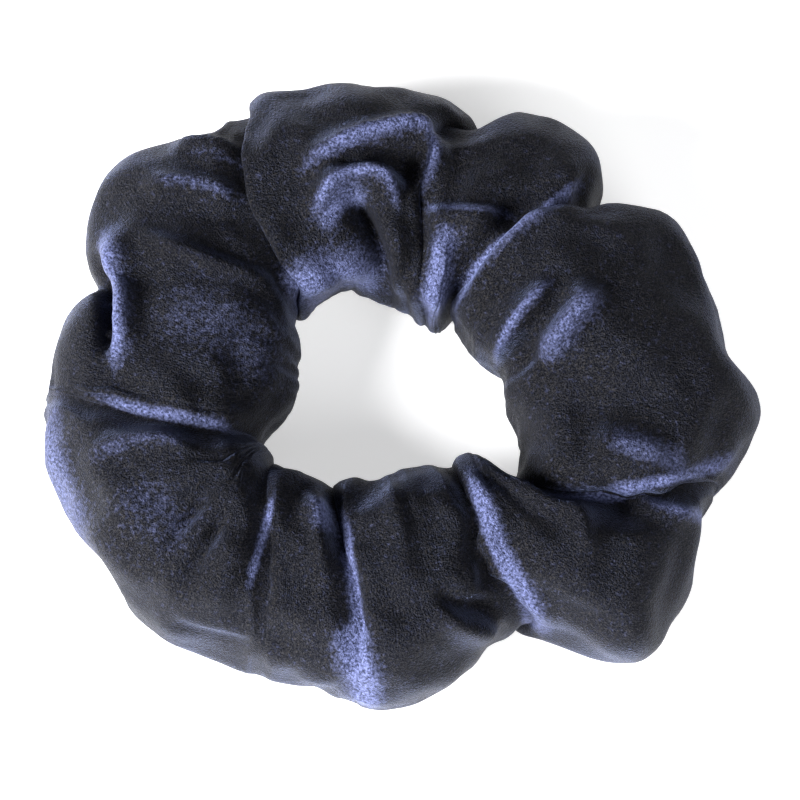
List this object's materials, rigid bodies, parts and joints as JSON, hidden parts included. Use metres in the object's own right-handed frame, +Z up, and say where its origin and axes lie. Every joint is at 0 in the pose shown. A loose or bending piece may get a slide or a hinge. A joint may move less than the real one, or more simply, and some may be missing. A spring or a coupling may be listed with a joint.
{
  "type": "hair scrunchie",
  "caption": "Gathered velvet tube closed into a ring over a flat elastic loop, lying flat, with an open centre that stretches to hold a ponytail.",
  "frame": {"origin": "centre of the bounding box's bottom, under the middle of the ring, on the surface that it lies on", "axes": "+Z up out of the ring's plane, +X along the ring's longest extent, towards its right side; the closing seam is at the upper left, seen from above"},
  "size_m": [0.1096, 0.1014, 0.027],
  "materials": {
    "velvet": "dark navy stretch velvet with short soft pile, near black face on, periwinkle blue where the pile turns away, fine knit ribs",
    "elastic": "black woven flat elastic with fine lengthwise cords, matt",
    "thread": "navy twisted polyester sewing thread, slight gloss"
  },
  "bodies": {
    "left": {"casing_left": "velvet", "elastic_band": "elastic", "elastic_join_stitching": "thread", "long_seam_stitching": "thread"},
    "upper_left": {"casing_upper_left": "velvet", "closing_seam_stitching": "thread"},
    "top": {"casing_top": "velvet"},
    "upper_right": {"casing_upper_right": "velvet"},
    "right": {"casing_right": "velvet"},
    "lower_right": {"casing_lower_right": "velvet"},
    "bottom": {"casing_bottom": "velvet"},
    "bottom_left": {"casing_bottom_left": "velvet"},
    "lower_left": {"casing_lower_left": "velvet"}
  },
  "joints": [
    {"name": "stretch", "type": "slide", "parent": "left", "child": "right", "axis": [1, 0, 0], "range_m": [0, 0.06], "stiffness_N_per_m": 100, "deforming": ["elastic_band", "elastic_join_stitching", "long_seam_stitching"]},
    {"name": "stretch_upper_left", "type": "slide", "parent": "left", "child": "upper_left", "axis": [1, 0, 0], "range_m": [0, 0.0039]},
    {"name": "stretch_top", "type": "slide", "parent": "left", "child": "top", "axis": [1, 0, 0], "range_m": [0, 0.0255]},
    {"name": "stretch_upper_right", "type": "slide", "parent": "left", "child": "upper_right", "axis": [1, 0, 0], "range_m": [0, 0.0483]},
    {"name": "stretch_lower_right", "type": "slide", "parent": "left", "child": "lower_right", "axis": [1, 0, 0], "range_m": [0, 0.0564]},
    {"name": "stretch_bottom", "type": "slide", "parent": "left", "child": "bottom", "axis": [1, 0, 0], "range_m": [0, 0.0364]},
    {"name": "stretch_bottom_left", "type": "slide", "parent": "left", "child": "bottom_left", "axis": [1, 0, 0], "range_m": [0, 0.0142]},
    {"name": "stretch_lower_left", "type": "slide", "parent": "left", "child": "lower_left", "axis": [1, 0, 0], "range_m": [0, 0.0015]}
  ],
  "couplings": [
    {"joint": "stretch_upper_left", "follows": "stretch", "ratio": 0.064},
    {"joint": "stretch_top", "follows": "stretch", "ratio": 0.424},
    {"joint": "stretch_upper_right", "follows": "stretch", "ratio": 0.804},
    {"joint": "stretch_lower_right", "follows": "stretch", "ratio": 0.94},
    {"joint": "stretch_bottom", "follows": "stretch", "ratio": 0.605},
    {"joint": "stretch_bottom_left", "follows": "stretch", "ratio": 0.236},
    {"joint": "stretch_lower_left", "follows": "stretch", "ratio": 0.024}
  ]
}
